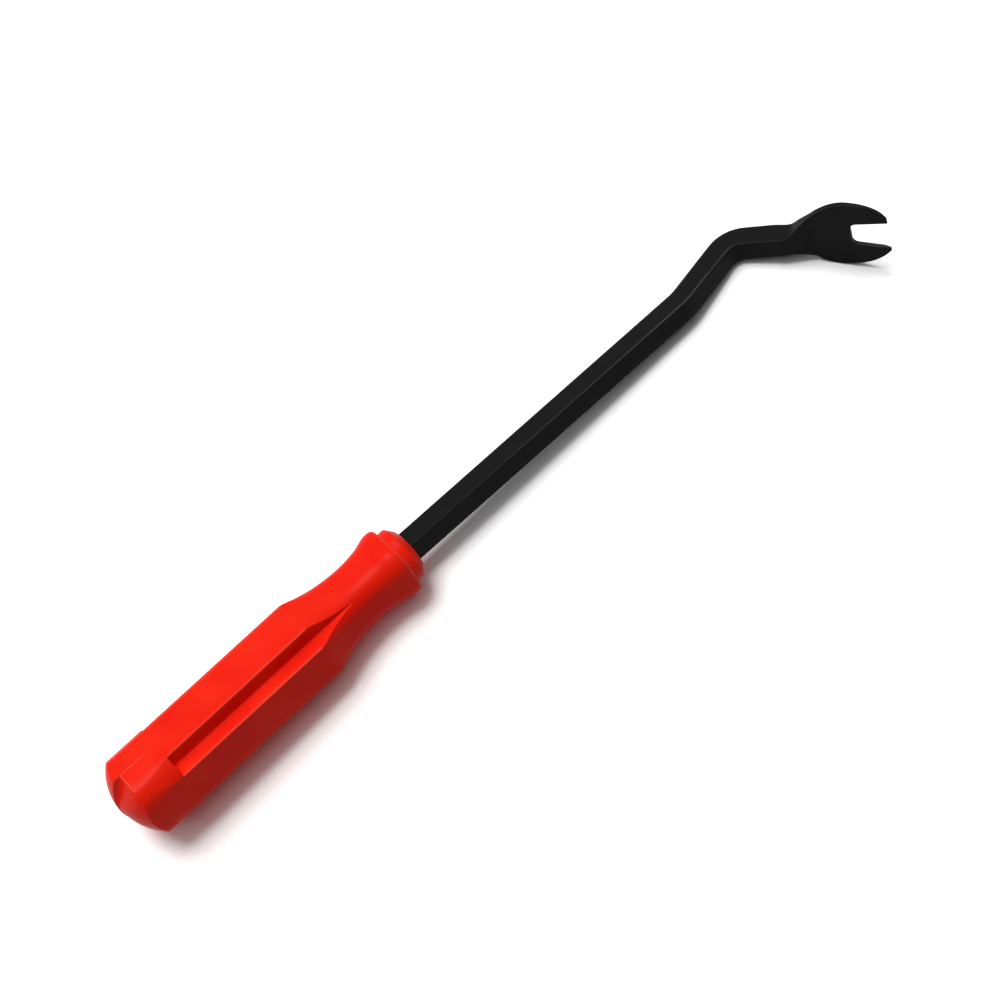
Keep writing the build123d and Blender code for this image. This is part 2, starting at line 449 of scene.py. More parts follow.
@dataclass(frozen=True)
class BlackCoating:
    """Semi-gloss black coating over forged steel, thinned along its edges, which carry a painted
    highlight, with a painted dark line just below them.
    """

    body: Colour = (0.0037, 0.0041, 0.0037, 1.0)
    dull: Colour = (0.0024, 0.0026, 0.0032, 1.0)
    # Pale grey for the edges: thinned coating plus a painted highlight.
    thin_coat_and_highlight: Colour = (0.0700, 0.0680, 0.0660, 1.0)
    # Near black for the painted dark reflection line just below the edges.
    painted_dark_line: Colour = (0.0006, 0.0006, 0.0008, 1.0)
    gloss: float = 0.28
    specular: float = 0.06

    def material(self) -> bpy.types.Material:
        """Makes the coating.

        Colour drifts between two blacks and pales on the edges, partly where the coating
        thinned and partly a painted highlight. Just below them, where the marks fall under 0,
        it is near black: a painted dark reflection line. Roughness takes a cloud, fine draw
        marks along the bar and the pale marks. The bump is the forging's slow waviness under
        the coating's orange peel.

        Returns:
            The material.
        """
        recipe = Recipe.of_material("blade_steel_black")
        plain = recipe.place()
        along = recipe.place(Grain.ALONG_BAR.value, (0.08, 1.0, 1.0))
        cloud = recipe.noise(plain, 0.007, 3.0)
        drawn = recipe.noise(along, 0.0007, 2.0, 0.6)
        peel = recipe.noise(plain, 0.0007, 2.0, 0.5)
        wear_and_painted_light = recipe.wear_and_painted_light()
        patches = recipe.noise(along, 0.003, 4.0, 0.65).between(0.38, 0.66)
        # Pale edges: abrasion plus a painted highlight.
        worn_and_highlit = (wear_and_painted_light * (patches * 0.5 + 0.6)).at_least(0.0).at_most(1.0)
        black = recipe.mix(cloud.between(0.3, 0.7), self.body, self.dull)
        # Painted dark reflection line where the marks fall under 0.
        black = recipe.mix((wear_and_painted_light * -1.0).at_least(0.0), black, self.painted_dark_line)
        forged = recipe.bump(recipe.noise(plain, 0.0045, 2.0), 0.00004)
        return recipe.finish(
            {
                "Base Color": recipe.mix(worn_and_highlit * 0.7, black, self.thin_coat_and_highlight),
                "Roughness": self.gloss + cloud * 0.10 + drawn * 0.08 + worn_and_highlit * 0.06,
                "Normal": recipe.bump(peel + drawn * 0.4, 0.000008, forged),
                "Specular IOR Level": self.specular,
                "IOR": 1.5,
            }
        )


@dataclass(frozen=True)
class WhiteSweep:
    """Matt white paper under the tool, which goes on as white as the background."""

    paper: float = 0.66
    mirrored: float = 0.95
    seen: float = 1.42

    def material(self) -> bpy.types.Material:
        """Makes the paper: the camera and reflections see it lifted to white, shadow kept.

        Returns:
            The material.
        """
        recipe = Recipe.of_material("studio_paper")
        seen, mirrored = recipe.rays()
        fibre = recipe.noise(recipe.place(), 0.004, 2.0) * 0.01
        level = self.paper + fibre + seen * (self.seen - self.paper)
        level = level + mirrored.at_most(1.0) * (self.mirrored - self.paper)
        shade = recipe.node("ShaderNodeCombineColor", {}, {0: level, 1: level, 2: level})
        return recipe.end(recipe.node("ShaderNodeBsdfDiffuse", {}, {"Color": shade}))


@dataclass
class Handle:
    """The moulded handle: domed butt, four grooves, drawn-in neck, flare and collar.

    Lengths are in millimetres, stations along X from the nose backwards.
    """

    length: float = 103.29
    flat: float = 10.77
    corner: float = 12.35
    dome: float = 16.4
    right_dome: float = 17.0
    dome_step: float = 0.32
    ridge_soft: float = 0.06
    left_soft: float = 0.3
    right_soft: float = 1.5
    facet_start: float = 97.1
    facet_slope: float = 54.0
    neck: float = 36.5
    groove_start: float = 85.3
    groove_end: float = 19.0
    groove_apex: float = 8.73
    groove_round: float = 0.0245
    groove_soft: float = 0.10
    widest_crease: float = 42.0
    flare_half: float = 9.3
    flare_blend: float = 6.2
    flare_end: float = 4.35
    flare_round: float = 0.8
    flare_long: float = 1.6
    collar: float = 8.4
    collar_end: float = 1.9
    collar_round: float = 0.6
    nose: float = 6.0
    opening: float = 3.36
    opening_round: float = 0.35
    opening_depth: float = 8.0
    bar_roll: float = -0.8
    bar_yaw: float = -1.36
    pole: float = 3.0
    dome_soft: float = 2.0
    butt_soft: float = 0.14
    butt: tuple[float, float] = (86.0, 96.0)
    flash: float = 0.13
    seam: float = 0.006
    seam_width: float = 0.13
    seam_end: tuple[float, float] = (5.5, 9.0)
    halves_apart: float = 0.07
    # Widths and strengths of the pale marks on the facet's edge, ridges and rim: abrasion plus a
    # painted highlight.
    facet_wear_highlight_width: float = 0.2
    ridge_wear_highlight_width: float = 0.35
    ridge_wear_and_highlight: float = 0.5
    rim_wear_and_highlight: float = 0.4

    def __post_init__(self) -> None:
        """Works out the ridge's angle, the groove's wall and the stations down the neck."""
        self.knots = [-self.neck, -28.0, -19.0, -11.5, -7.2, -4.9]
        self.ridge = np.degrees(np.arccos(self.flat / self.corner))
        beside = np.radians(45.0 - self.ridge)
        run = self.corner * np.cos(beside) - self.groove_apex
        self.wall = self.corner * np.sin(beside) / run

    def halves(self, x: Array) -> Array:
        """Half the width across the flats at each station, a smooth curve down the neck."""
        heights = [self.flat, 8.65, 7.8, 8.35, self.flare_half, self.flare_half]
        return smooth_through(x, self.knots, heights, -0.20, 0.0)

    def corners(self, x: Array) -> Array:
        """The radius of the neck's rounded corners at each station."""
        heights = [6.95, 5.9, 5.3, 5.7, self.flare_blend, self.flare_blend]
        return smooth_through(x, self.knots, heights, -0.1, 0.0)

    def rounded_square(self, a: Array, half: Array | float, blend: Array | float) -> Array:
        """Radius of a square with rounded corners, as seen from its middle.

        On the flat it is half / cos a. Past the flat it is c (cos a + sin a) +
        sqrt(blend^2 - c^2 (cos a - sin a)^2), where c = half - blend.

        Args:
            a: The angle from the middle of the nearest flat, from 0 to 45 degrees.
            half: Half the width across the flats.
            blend: The radius of the corners.

        Returns:
            The radius at each angle.
        """
        a = np.radians(a)
        c = half - blend
        inside = np.maximum(blend**2 - c**2 * (np.cos(a) - np.sin(a)) ** 2, 0.0)
        bend = c * (np.cos(a) + np.sin(a)) + np.sqrt(inside)
        return np.where(half * np.tan(a) <= c, half / np.cos(a), bend)

    def outside(self, x: Array, a: Array, soft: Array | float) -> Array:
        """Radius of the handle without its grooves and dome.

        The grip is the smaller of the flat, half / cos a, and the round corner. Over the
        first millimetres of the neck it gives way to the rounded square.

        Args:
            x: The station.
            a: The angle from the middle of the nearest flat in degrees.
            soft: How wide the grip's ridges are rounded.

        Returns:
            The radius.
        """
        half = self.halves(x)
        grip = soft_min(half / np.cos(np.radians(a)), np.full_like(half, self.corner), soft)
        share = smooth_step(x, -self.neck, -self.neck + 4.5)
        return grip * (1.0 - share) + self.rounded_square(a, half, self.corners(x)) * share

    def groove(self, x: Array, a: Array) -> Array:
        """Radius of the V grooves, far outside where there is none.

        A wall is apex * k / (k cos b - sin b), with b the angle from the corner, taken as
        sqrt(b^2 + round^2) so that the bottom is round.

        Args:
            x: The station.
            a: The angle from the middle of the nearest flat in degrees.

        Returns:
            The radius.
        """
        b = np.sqrt(np.radians(45.0 - a) ** 2 + self.groove_round**2)
        wall = self.groove_apex * self.wall / (self.wall * np.cos(b) - np.sin(b))
        cut = (x > -self.groove_start) & (x < -self.groove_end)
        return np.where(cut, wall, FAR)

    def crease(self, x: Array) -> Array:
        """Angle at which the groove's edge stands at each station.

        It is the first of many angles at which the groove lies inside the outside. Past
        the groove's end it goes back to the ridge's angle.

        Args:
            x: The stations.

        Returns:
            The angle from the middle of a flat in degrees.
        """
        tries = np.linspace(0.0, 45.0, 1801)[None, :]
        at = np.clip(x, -self.groove_start + 0.1, -self.groove_end - 0.1)[:, None] + 0.0 * tries
        tries = tries + 0.0 * at
        cut = self.groove(at, tries) < self.outside(at, tries, self.ridge_soft)
        found = np.where(cut.any(axis=1), tries[0][cut.argmax(axis=1)], 45.0)
        back = smooth_step(x, -self.groove_end, -self.groove_end + 10.0)
        found = np.minimum(found, self.widest_crease)
        return found * (1.0 - back) + self.ridge * back

    def angles(self) -> tuple[Array, Array]:
        """The angles at which every station is taken.

        They are three degrees apart, closer at the ridges, at the bottoms of the grooves
        and at the mould's parting line.

        Returns:
            The flat each angle belongs to, in degrees, and the signed angle from its middle.
        """
        apart = np.array([0.08, 0.25, 0.5, 0.9, 1.5, 3.0])
        plain = np.concatenate([np.linspace(3.0, 24.0, 8), [34.5, 36.5, 38.5]])
        near_line = np.array([0.04, 0.3, 0.6, 0.9, 1.4])
        near_groove = 45.0 - np.array([0.0, 0.5, 1.0, 1.6, 2.4, 3.6, 5.0])
        near_ridge = self.ridge + np.concatenate([-apart, apart])
        one_side = np.unique(np.concatenate([plain, near_ridge, near_line, near_groove]))
        signed = np.concatenate([-one_side[::-1], one_side[:-1]])
        flats = np.repeat([0.0, 90.0, 180.0, 270.0], len(signed))
        return flats, np.tile(signed, 4)

    def stations(self) -> Array:
        """The stations along the handle, closer where the shape turns fast.

        Returns:
            The stations, from the dome's tip to the flare.
        """
        dome = -self.length + self.dome * (1.0 - np.cos(np.radians(np.linspace(1.5, 60.0, 60))))
        tip = -self.length + self.dome_step + np.array([0.001, 0.004, 0.015, 0.035, 0.06])
        facet = -self.facet_start + np.array([-0.3, -0.12, -0.04, 0.0, 0.04, 0.12, 0.3])
        plain = np.linspace(-95.5, -86.0, 12)
        start = -self.groove_start + np.array([-0.25, -0.08, -0.015, 0.015, 0.08, 0.4])
        grip = np.linspace(-84.0, -38.0, 32)
        turn = -self.neck + np.array([-0.6, -0.2, 0.0, 0.2, 0.5, 0.9])
        neck = np.linspace(-35.0, -8.0, 64)
        end = -self.groove_end + np.array([-0.02, 0.02])
        flare = np.array([-7.6, -7.2, -6.8, -6.2])
        butt = [dome, tip, facet, plain]
        return np.unique(np.concatenate([*butt, start, grip, turn, neck, end, flare]))

    def skin(self) -> tuple[Array, Array, Array, Array]:
        """The handle's surface as a radius over station and angle.

        The radius is the rounded minimum of the outside, the grooves and the dome, which
        stands prouder on the mould's left half. The right half's dome runs into a slanting
        facet. Flash stands along the parting line, most of it at the butt.

        Returns:
            The stations, the angles in radians, the radii and how pale the facet's edge
            (abrasion plus a painted highlight) and the flash are, each rows by columns.
        """
        flats, signed = self.angles()
        x = self.stations()[:, None] + 0.0 * signed[None, :]
        shift = self.crease(x[:, 0])[:, None]
        a = np.abs(signed)[None, :] + 0.0 * x
        low, high = a * shift / self.ridge, 45.0 - (45.0 - a) * (45.0 - shift) / (45.0 - self.ridge)
        a = np.where(a < self.ridge, low, high)
        turn = np.radians(flats[None, :] + np.sign(signed)[None, :] * a)
        left = np.cos(turn) > 0.0
        soft = np.where(left, self.left_soft, self.right_soft)
        soft = self.ridge_soft + soft * smooth_step(-x, self.groove_start, self.groove_start + 9.0)
        radius = soft_min(self.outside(x, a, soft), self.groove(x, a), self.groove_soft)
        end = np.where(left, self.length, self.length - self.dome_step)
        bulge = np.where(left, self.dome, self.right_dome)
        dome = np.sqrt(np.maximum(bulge**2 - (x + end - bulge) ** 2, 0.0))
        dome = np.where(x > bulge - end, FAR, dome)
        drop = (-x - self.facet_start) * np.tan(np.radians(self.facet_slope))
        facet = np.maximum((self.flat - drop) / np.maximum(np.abs(np.sin(turn)), 0.3), 0.0)
        facet = np.where(left, FAR, facet)
        # A pale line along the right half's facet edge: abrasion plus a painted highlight.
        edge = np.exp(-(((x + self.facet_start) / self.facet_wear_highlight_width) ** 2)) * ~left
        edge = edge * smooth_step(np.abs(np.sin(turn)), 0.80, 0.90)
        blend = np.clip(dome / self.pole, 0.05, 1.0) * self.dome_soft
        tip = np.maximum(soft_min(dome, facet, blend), 0.0)
        radius = soft_min(radius, tip, self.butt_soft)
        beside = np.abs(radius * np.cos(turn))
        off_pole = np.clip(radius / self.pole, 0.0, 1.0)
        butt = smooth_step(-x, *self.butt) * off_pole
        line = np.exp(-((beside / self.seam_width) ** 2)) * off_pole
        apart = np.where(left, self.halves_apart * butt, 0.0) * np.exp(-beside / 2.0)
        fades = smooth_step(-x, *self.seam_end)
        radius = radius + (line * (self.seam + self.flash * butt) + apart) * fades
        return x, turn, radius, np.clip(edge + line * butt, 0.0, 1.0)

    def front(self, turn: Array) -> tuple[Array, Array]:
        """The flare's rim, the collar, its cone, the nose and the opening for the bar.

        Rows go on from the skin: a quarter ellipse of the flare's edge, the ledge, the
        collar's side, its round, the cone and the nose face, then a rounded square that
        turns in beside the bar with a small lip.

        Args:
            turn: The angles of the last row of the skin in radians.

        Returns:
            The rows' X and their radii, each rows by columns.
        """
        a = from_flat(turn)
        rim = self.rounded_square(a, self.flare_half, self.flare_blend)
        t = np.radians(np.linspace(0.0, 90.0, 9))[:, None]
        rim_x = -self.flare_end - self.flare_long * (1.0 - np.sin(t)) + 0.0 * rim
        rim_r = rim - self.flare_round * (1.0 - np.cos(t))
        lean = np.arctan2(self.collar - self.nose, self.collar_end)
        t = np.linspace(0.0, lean, 8)
        start = -self.collar_end - self.collar_round * np.tan(lean / 2.0)
        round_x = start + self.collar_round * np.sin(t)
        round_r = self.collar - self.collar_round * (1.0 - np.cos(t))
        ledge = np.array([0.0, 0.02, 0.2, 0.8]) - self.flare_end
        slope = (self.collar - self.nose) / self.collar_end
        cone = self.nose + np.array([0.35 * slope, 0.02 * slope, -0.12])
        circle_x = np.concatenate([ledge, round_x, [-0.35, -0.06, 0.0]])
        circle_r = np.concatenate([self.collar + np.array([0.22, 0.05, 0.0, 0.0]), round_r, cone])
        squares = [(0.0, 1.0), (0.02, 0.45), (0.16, 0.25), (0.2, 0.14), (0.12, 0.04), (-0.3, 0.0)]
        inner_x, wider = np.array(squares + [(-3.0, 0.0), (-self.opening_depth, 0.0)]).T
        wider = wider[:, None]
        inner = from_flat(turn, self.bar_roll) + 0.0 * wider
        inner = self.rounded_square(inner, self.opening + wider, self.opening_round + wider)
        x = np.concatenate([rim_x, circle_x[:, None] + 0.0 * rim, inner_x[:, None] + 0.0 * rim])
        return x, np.concatenate([rim_r, circle_r[:, None] + 0.0 * rim, inner])

    def build(self, lay: Lay) -> bpy.types.Object:
        """Makes the handle: each point is (x, r cos turn, r sin turn).

        Inside the opening the rows shift sideways with the bar's yaw.

        Args:
            lay: Where the tool lies.

        Returns:
            The handle's object.
        """
        x, turn, radius, marks = self.skin()
        front_x, front_r = self.front(turn[-1])
        marks = np.concatenate([marks, 0.0 * front_x])
        x = np.concatenate([x, front_x])
        radius = np.concatenate([radius, front_r])
        turn = np.concatenate([turn, np.repeat(turn[-1:], len(front_x), axis=0)])
        inside = np.zeros_like(x)
        inside[-3:] = np.minimum(x[-3:], 0.0) * np.tan(np.radians(self.bar_yaw))
        points = np.stack([x, radius * np.cos(turn) + inside, radius * np.sin(turn)], axis=-1)
        # Pale ridges in the grip and a pale flare rim: abrasion plus a painted highlight.
        from_ridge = (from_flat(turn) - self.ridge) * radius * np.pi / 180.0
        on_ridge = np.exp(-((from_ridge / self.ridge_wear_highlight_width) ** 2))
        grooved = (x > -self.groove_start) & (x < -self.neck)
        rim = np.exp(-(((x + self.flare_end + 0.3) / 0.5) ** 2)) * (radius > 8.8)
        wear_and_painted_light = self.ridge_wear_and_highlight * on_ridge * grooved + self.rim_wear_and_highlight * rim + marks
        wear_and_painted_light = np.clip(wear_and_painted_light, 0.0, 1.0)
        shell = Shell()
        shell.add_grid(points, wear_and_painted_light, round_about=True)
        shell.add_cap(points[0], facing_back=True)
        shell.add_cap(points[-1], facing_back=False)
        return shell.make("handle_moulding", lay, 38.0)

    def dress(self, piece: bpy.types.Object, finish: RedMoulding) -> None:
        """Gives the handle its plastic and says what it stands for.

        Args:
            piece: The handle's object.
            finish: Its plastic.
        """
        piece.data.materials.append(finish.material())
        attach(piece, "root")
        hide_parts("handle")


@dataclass
class Blade:
    """The bar, from inside the handle round both bends, and the flat notched fork.

    Lengths are in millimetres. The bends lie in the blade's own XY plane, turned left
    first and then right, and V is its Z.
    """

    bar: float = 3.28
    bar_round: float = 0.3
    twist: tuple[float, float] = (5.0, 9.0)
    hidden: float = 7.5
    straights: tuple[float, ...] = (103.3, 17.2, 7.75, 0.5)
    bends: tuple[float, ...] = (12.06, -59.63, -7.7)
    radii: tuple[float, ...] = (19.8, 8.0, 15.0)
    roll: float = 4.2
    yaw: float = -1.36
    flare: float = 9.5
    rise: float = 2.8
    sag: float = 1.0
    proud: float = 0.18
    root: float = 8.2
    head: float = 12.24
    head_middle: float = 11.2
    reach: float = 21.84
    tip: float = 6.2
    notch_mouth: tuple[float, float] = (4.95, 5.15)
    notch_floor: tuple[float, float] = (4.25, 3.85)
    notch_depth: float = 10.8
    notch_corner: float = 1.9
    root_thickness: float = 2.15
    tip_thickness: float = 1.12
    tip_bevel: float = 0.5
    front_round: float = 0.28
    back_round: float = 0.4
    bar_band: float = 0.45
    head_band: float = 0.06
    fuller: float = 0.8
    tip_cut: float = 0.15
    tip_row: float = 0.65
    tip_narrow: float = 0.7
    tip_bevel_run: float = 2.2
    bar_split: float = 0.9
    # Strengths of the pale edge marks: abrasion plus a painted highlight, which grows towards the
    # crank.
    wear_and_highlight_at: tuple[float, ...] = (10.0, 60.0, 95.0)
    bar_wear_and_highlight: tuple[float, ...] = (0.12, 0.5, 1.0)
    head_wear_and_highlight: float = 0.2
    outer_wear: float = 0.175
    notch_wall_wear_and_light: float = 0.7
    floor_wear: float = 0.6
    tip_wear: float = 0.8
    spine_step: float = 0.02
    across: int = 10
    middle: int = 6

    def __post_init__(self) -> None:
        """Works out the head's circle, the notch's corner and where the fork starts.

        The circle through (0, root), (head_middle, head) and (reach, tip) has its centre
        where 2 p . c - d = |p|^2 for all three points.
        """
        marks = np.array([[0.0, self.root], [self.head_middle, self.head], [self.reach, self.tip]])
        terms = np.concatenate([2.0 * marks, np.ones((3, 1))], axis=1)
        centre_u, centre_v, rest = np.linalg.solve(terms, (marks**2).sum(axis=1))
        self.centre = np.array([centre_u, centre_v])
        self.round = np.sqrt(rest + centre_u**2 + centre_v**2)
        turns = np.abs(np.radians(self.bends)) * np.array(self.radii)
        pieces = np.concatenate([[0.0], np.stack([self.straights[:-1], turns], axis=1).ravel()])
        self.breaks = np.cumsum(np.concatenate([pieces, self.straights[-1:]]))
        self.fork_start = self.breaks[-1]
        self.head_start = self.fork_start + self.flare
        self.floor_u = self.reach - self.notch_depth

    def lean(self, side: float) -> float:
        """How far one wall of the notch leans outwards, in radians."""
        k = 0 if side > 0.0 else 1
        return float(np.arctan2(self.notch_mouth[k] - self.notch_floor[k], self.notch_depth))

    def square(self, side: float) -> float:
        """How far from the notch's middle its floor runs before the corner's round."""
        floor = self.notch_floor[0 if side > 0.0 else 1]
        return floor - self.notch_corner * float(np.tan(np.pi / 4.0 - self.lean(side) / 2.0))

    def middle_line(self, u: Array) -> Array:
        """How far up the head's middle stands: it sags at the root and is level past it."""
        return self.rise - self.sag * (1.0 - smooth_step(u, 0.0, self.floor_u - 0.6))

    def spine(self, s: Array) -> tuple[Array, Array]:
        """The bar's centre line at a distance s from the nose.

        Its heading is the running sum of the bends, even along each arc. Its place is the
        running sum of (cos heading, sin heading) over small steps.

        Args:
            s: The distances along the line.

        Returns:
            The places and the unit directions, three numbers each.
        """
        turned = np.concatenate([[0.0], np.repeat(np.cumsum(np.radians(self.bends)), 2)])
        turned = np.concatenate([turned[:1], [0.0], turned[1:]])
        fine = np.arange(-self.hidden - 1.0, self.fork_start + 45.0, self.spine_step)
        middles = np.interp(fine[:-1] + self.spine_step / 2.0, self.breaks, turned)
        steps = self.spine_step * direction(middles)
        places = np.concatenate([np.zeros((1, 3)), np.cumsum(steps, axis=0)])
        places[:, 0] += fine[0]
        place = np.stack([np.interp(s, fine, places[:, k]) for k in range(3)], axis=-1)
        return place, direction(np.interp(s, self.breaks, turned))

    def into_tool(self, s: Array, ahead: Array, v: Array, w: Array) -> Array:
        """Carries points beside the centre line into the tool frame.

        A point is place + ahead * direction + v * up + w * front, with front = direction
        x up, turned by yaw about Z and by roll about X. The straight bar's section is
        twisted a few degrees from the plane of the bends, up to the second bend.

        Args:
            s: The distance along the line.
            ahead: How far the point stands ahead of it.
            v: How far up it stands.
            w: How far to the front it stands.

        Returns:
            The points, three numbers each.
        """
        angle = np.interp(s, [0.0, self.breaks[1], self.breaks[3]], [*self.twist, self.twist[1]])
        angle = np.radians(angle * (1.0 - smooth_step(s, self.breaks[2], self.fork_start)))
        v, w = v * np.cos(angle) + w * np.sin(angle), w * np.cos(angle) - v * np.sin(angle)
        place, along = self.spine(s)
        front = np.stack([along[..., 1], -along[..., 0], 0.0 * s], axis=-1)
        up = np.array([0.0, 0.0, 1.0])
        points = place + ahead[..., None] * along + v[..., None] * up + w[..., None] * front
        turn = turn_about("X", self.roll) @ turn_about("Z", self.yaw)
        return points @ turn.T

    def outline(self, u: Array) -> tuple[Array, Array, Array]:
        """The head's upper edge at a distance u from its root.

        It is centre + sqrt(round^2 - (u - centre)^2), and its outward direction is the
        circle's radius. Before the root the direction eases back to straight up.

        Args:
            u: The distances, negative in the flare.

        Returns:
            The edge's height, and the two parts of its outward direction.
        """
        from_centre = np.clip(u, 0.0, None) - self.centre[0]
        height = self.centre[1] + np.sqrt(self.round**2 - from_centre**2)
        ease = smooth_step(u, -self.flare * 0.7, 0.0)
        ahead = from_centre / self.round * ease
        return height, ahead, np.sqrt(1.0 - ahead**2)

    def thickness(self, u: Array) -> Array:
        """The head's thickness: it falls evenly from the root, and faster at the tips."""
        plain = self.root_thickness + (self.tip_thickness - self.root_thickness) * u / self.reach
        return plain - self.tip_bevel * smooth_step(u, self.reach - self.tip_bevel_run, self.reach)

    def along(self, s: Array) -> Array:
        """The share of the flare's length at each station: 0 on the bar, 1 on the head."""
        return np.clip((s - self.fork_start) / self.flare, 0.0, 1.0)

    def sides(self, s: Array) -> tuple[Array, Array, Array, Array]:
        """Where the top, bottom, front and back stand along the bar, flare and head.

        The flare eases each of them from the bar to the head through two stations, by the
        shares of the way and with the slopes at both ends that its row gives.

        Args:
            s: The distance along the centre line.

        Returns:
            The top, bottom, front and back.
        """
        along = self.along(s)
        u = np.maximum(s - self.head_start, 0.0)
        height, middle = self.outline(u)[0], self.middle_line(u)
        moves = [
            (self.bar, middle + height, (0.09, 0.48), 0.0, 1.2),
            (-self.bar, middle - height, (0.07, 0.41), 0.0, 1.8),
            (self.bar, self.proud, (0.27, 0.6), 0.2, 0.75),
            (-self.bar, self.proud - self.thickness(u), (0.08, 0.46), 0.0, 0.9),
        ]
        stations = [0.0, 0.32, 0.6, 1.0]
        return tuple(
            bar + (head - bar) * smooth_through(along, stations, [0.0, *shares, 1.0], *slopes)
            for bar, head, shares, *slopes in moves
        )

    def rim(self, edge_front: Array, edge_back: Array, band: Array) -> tuple[Array, Array]:
        """A rim's profile from the front to the back, as shares of its two rounds.

        A quarter round at the front and a narrow band beside it, the plain rim, then the
        same from the back.

        Args:
            edge_front: The radius of the front round, one per row.
            edge_back: The radius of the back round, one per row.
            band: The width of the band beside each round, one per row.

        Returns:
            How far in each point stands, and how far behind the front (or, past the
            middle of the rim, how far before the back, as a negative number).
        """
        t = np.radians(np.linspace(0.0, 90.0, 7))[None, :]
        front, back, band = edge_front[:, None], edge_back[:, None], band[:, None]
        level = 0.0 * band
        inset = [front * (1.0 - np.sin(t)), level, level, back * (1.0 - np.cos(t))]
        depth = [front * (1.0 - np.cos(t)), front + band, -back - band, -back * (1.0 - np.sin(t))]
        return np.concatenate(inset, axis=1), np.concatenate(depth, axis=1)

    def rim_depth(self, offset: Array, face: Array, back: Array) -> Array:
        """Turns a rim's offsets into depths: face - offset, and back - offset past its middle.

        Args:
            offset: How far behind or before each point stands, rows by columns.
            face: The depth that the first half counts from, one per row.
            back: The depth that the second half counts from, one per row.

        Returns:
            The depths, rows by columns.
        """
        half = offset.shape[1] // 2
        first = face[:, None] - offset[:, :half]
        return np.concatenate([first, back[:, None] - offset[:, half:]], axis=1)

    def over_rim(self, rim: Array, front: Array, back: Array) -> Array:
        """Carries one coordinate across the front, over the rim and across the back.

        Across a face it is rim * share + end * (1 - share), with share = t^0.85.

        Args:
            rim: The coordinate round the rim, rows by columns.
            front: Its value where the front's part ends, one per row.
            back: Its value where the back's part ends, one per row.

        Returns:
            The coordinate of the whole row.
        """
        shares = np.linspace(1.0, 0.0, self.across + 1)[None, :] ** 0.85
        front = rim[:, :1] * shares + front * (1.0 - shares)
        back = rim[:, -1:] * shares + back * (1.0 - shares)
        return np.hstack([front[:, ::-1], rim[:, 1:-1], back])

    def rounds(self, s: Array) -> tuple[Array, Array, Array]:
        """The radii of the edges and their bands, which change evenly along the flare.

        Args:
            s: The stations.

        Returns:
            The front radius, the back radius and the band's width at each station.
        """
        along = self.along(s)
        front = self.bar_round + (self.front_round - self.bar_round) * along
        back = self.bar_round + (self.back_round - self.bar_round) * along
        return front, back, self.bar_band + (self.head_band - self.bar_band) * along

    def body_rows(self) -> Array:
        """The stations along the centre line, closer in the bends and the flare.

        Returns:
            The stations, from the bar's hidden end to the notch's floor.
        """
        ends = np.concatenate([[-self.hidden], self.breaks[1:]])
        counts = (60, 14, 12, 36, 8, 8)
        bar = [np.linspace(*pair) for pair in zip(ends, ends[1:], counts)]
        flare = self.fork_start + np.linspace(0.0, self.flare, 40)
        head = self.head_start + np.linspace(0.0, self.floor_u, 26)
        s = np.unique(np.round(np.concatenate([*bar, flare, head]), 6))
        s = s[np.concatenate([[True], np.diff(s) > 0.01])]
        return np.append(s[s < self.head_start + self.floor_u - 0.5], s[-1])

    def build(self, lay: Lay) -> bpy.types.Object:
        """Makes the blade from four patches that share their borders.

        The body's ring runs down the front, round the bottom, up the back and over the
        top. Each prong carries on from its third of the last ring, and the notch's floor
        closes what is left between them.

        Args:
            lay: Where the tool lies.

        Returns:
            The blade's object.
        """
        shell = Shell()
        self.add_body(shell, self.body_rows())
        for side in (1.0, -1.0):
            self.add_prong(shell, side)
        self.add_floor(shell)
        return shell.make("blade_forging", lay, 50.0)

    def ring_half(self, s: Array, side: float) -> tuple[Array, Array, Array]:
        """One half of the body's ring, from the split on the front over the rim to the back.

        The last row meets the prongs and the notch's floor, so its back takes the
        thickness at each point's own place.

        Args:
            s: The stations.
            side: 1 for the upper half, -1 for the lower half.

        Returns:
            The points' distance ahead, height and depth, rows by columns.
        """
        top, bottom, face, back = self.sides(s)
        u = s - self.head_start
        _, ahead, up = self.outline(u)
        edge = (top if side > 0.0 else bottom)[:, None]
        along = self.along(s)[:, None]
        centre = self.middle_line(u)[:, None] * smooth_step(along, 0.0, 1.0)
        split = centre + side * (self.bar_split + (self.square(side) - self.bar_split) * along)
        inset, offset = self.rim(*self.rounds(s))
        last = (u > self.floor_u - 1e-6).astype(float)[:, None]
        ends = (-last * self.front_round, -last * self.back_round)
        ahead_all = self.over_rim(-inset * ahead[:, None], *ends)
        v_all = self.over_rim(edge - side * inset * up[:, None], split, split)
        depth = self.rim_depth(offset, face, back)
        w_all = self.over_rim(depth, depth[:, :1], depth[:, -1:])
        behind = np.repeat([0.0, 1.0], w_all.shape[1] // 2)[None, :]
        own = self.thickness(u)[:, None] - self.thickness(u[:, None] + ahead_all)
        return ahead_all, v_all, w_all + last * behind * own

    def wear_and_light_half(self, s: Array) -> Array:
        """Marks over one half ring: a pale line on the edges, partly abrasion and partly a painted
        highlight, strongest past the bar's middle.

        Below an edge the marks are negative: a painted dark line, on the bar and the flare.

        Args:
            s: The stations.

        Returns:
            The marks, rows by columns.
        """
        face = np.zeros(self.across)
        edge = np.array([0.0, 0.35, 0.8, 1.0, 1.0, 1.0])
        on_bar = 1.0 - smooth_step(s, self.breaks[3], self.breaks[4])
        worn_and_lit = np.interp(s, self.wear_and_highlight_at, self.bar_wear_and_highlight) - self.head_wear_and_highlight
        worn_and_lit = self.head_wear_and_highlight + worn_and_lit * on_bar
